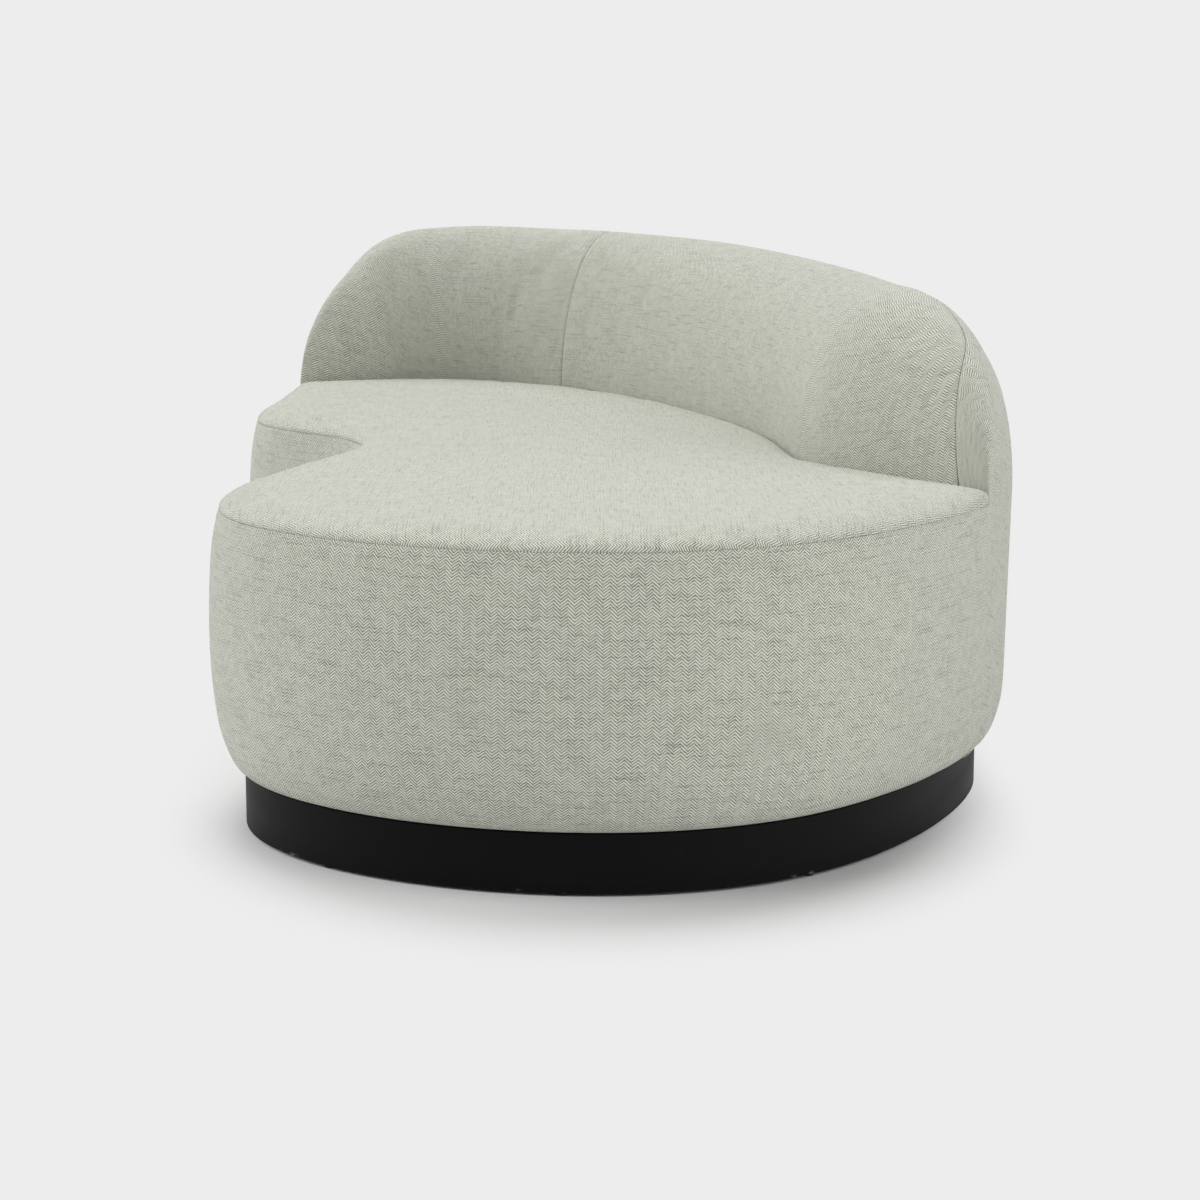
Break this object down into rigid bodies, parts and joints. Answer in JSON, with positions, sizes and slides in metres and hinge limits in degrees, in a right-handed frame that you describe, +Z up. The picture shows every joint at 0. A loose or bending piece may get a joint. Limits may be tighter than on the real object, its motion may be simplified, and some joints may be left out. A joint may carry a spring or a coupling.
{
  "type": "corner sofa",
  "caption": "Kidney-shaped corner sofa with a bay in its front, a crescent back that turns the far corner and ends in rounded noses, on a recessed black plinth.",
  "frame": {"origin": "centre of the upholstery's outline in plan, on the floor under the glides", "axes": "+X along the length towards the open end, where the seat has no back; +Y towards the rear, so the front with its bay faces -Y; +Z up"},
  "size_m": [2.3699, 1.1989, 0.7397],
  "materials": {
    "cloth": "pale sage-grey chunky herringbone weave, matte",
    "plinth": "bent plywood, painted satin black",
    "glide": "matte dark grey",
    "plywood": "unfinished birch plywood",
    "timber": "unfinished sawn softwood",
    "hardboard": "unfinished hardboard",
    "foam": "open-cell upholstery foam, matte",
    "webbing": "woven elastic webbing",
    "felt": "needled felt",
    "lining": "black spunbonded lining",
    "steel": "zinc plated"
  },
  "bodies": {
    "root": {"glides": "glide", "plinth_band": "plinth", "plinth_cross_ribs": "plywood", "plinth_cleats": "timber", "plinth_bolts": "steel", "plinth_tee_nuts": "steel", "underside_lining": "lining", "base_ring": "plywood", "base_cross_boards": "plywood", "seat_posts": "timber", "border_facing": "hardboard", "seat_top_ring": "plywood", "webbing_front_to_back": "webbing", "webbing_lengthwise": "webbing", "felt_pad": "felt", "seat_foam": "foam", "border_padding": "foam", "rear_padding": "foam", "seat_top_cover": "cloth", "seat_border_cover": "cloth", "back_bottom_rail": "plywood", "back_ribs": "plywood", "back_top_rail": "timber", "back_inner_facing": "hardboard", "back_outer_facing": "hardboard", "back_bolts": "steel", "back_tee_nuts": "steel", "back_outer_pad": "foam", "back_outer_roll": "foam", "back_inner_roll": "foam", "back_inner_pad": "foam", "open_nose_foam": "foam", "closed_nose_foam": "foam", "back_inner_cover": "cloth", "wing_inner_cover": "cloth", "back_outer_cover": "cloth"}
  },
  "joints": []
}
